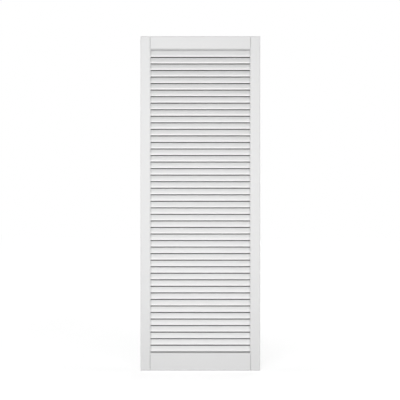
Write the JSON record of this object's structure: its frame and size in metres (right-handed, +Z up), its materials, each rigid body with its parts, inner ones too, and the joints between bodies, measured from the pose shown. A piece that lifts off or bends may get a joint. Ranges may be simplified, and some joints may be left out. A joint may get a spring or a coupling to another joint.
{
  "type": "louvred door",
  "caption": "Tall louvred door leaf: a stile and rail frame around a close ladder of fixed sloping slats that screen the view and let air through.",
  "frame": {"origin": "middle of the leaf's bottom edge", "axes": "+Z up along the stiles, +X across the leaf to the right seen from the front, +Y from the front face to the back face"},
  "size_m": [0.394, 0.021, 1.1],
  "materials": {
    "painted_frame": "satin white paint on pine, the grain faintly telegraphed",
    "painted_slats": "satin white paint on thin pine strips",
    "beech_dowels": "bare fluted beech, glued in"
  },
  "bodies": {
    "root": {"left_stile": "painted_frame", "right_stile": "painted_frame", "top_rail": "painted_frame", "bottom_rail": "painted_frame", "corner_dowels": "beech_dowels", "slat_01": "painted_slats", "slat_02": "painted_slats", "slat_03": "painted_slats", "slat_04": "painted_slats", "slat_05": "painted_slats", "slat_06": "painted_slats", "slat_07": "painted_slats", "slat_08": "painted_slats", "slat_09": "painted_slats", "slat_10": "painted_slats", "slat_11": "painted_slats", "slat_12": "painted_slats", "slat_13": "painted_slats", "slat_14": "painted_slats", "slat_15": "painted_slats", "slat_16": "painted_slats", "slat_17": "painted_slats", "slat_18": "painted_slats", "slat_19": "painted_slats", "slat_20": "painted_slats", "slat_21": "painted_slats", "slat_22": "painted_slats", "slat_23": "painted_slats", "slat_24": "painted_slats", "slat_25": "painted_slats", "slat_26": "painted_slats", "slat_27": "painted_slats", "slat_28": "painted_slats", "slat_29": "painted_slats", "slat_30": "painted_slats", "slat_31": "painted_slats", "slat_32": "painted_slats", "slat_33": "painted_slats", "slat_34": "painted_slats", "slat_35": "painted_slats", "slat_36": "painted_slats", "slat_37": "painted_slats", "slat_38": "painted_slats", "slat_39": "painted_slats", "slat_40": "painted_slats", "slat_41": "painted_slats", "slat_42": "painted_slats", "slat_43": "painted_slats", "slat_44": "painted_slats", "slat_45": "painted_slats", "slat_46": "painted_slats"}
  },
  "joints": []
}
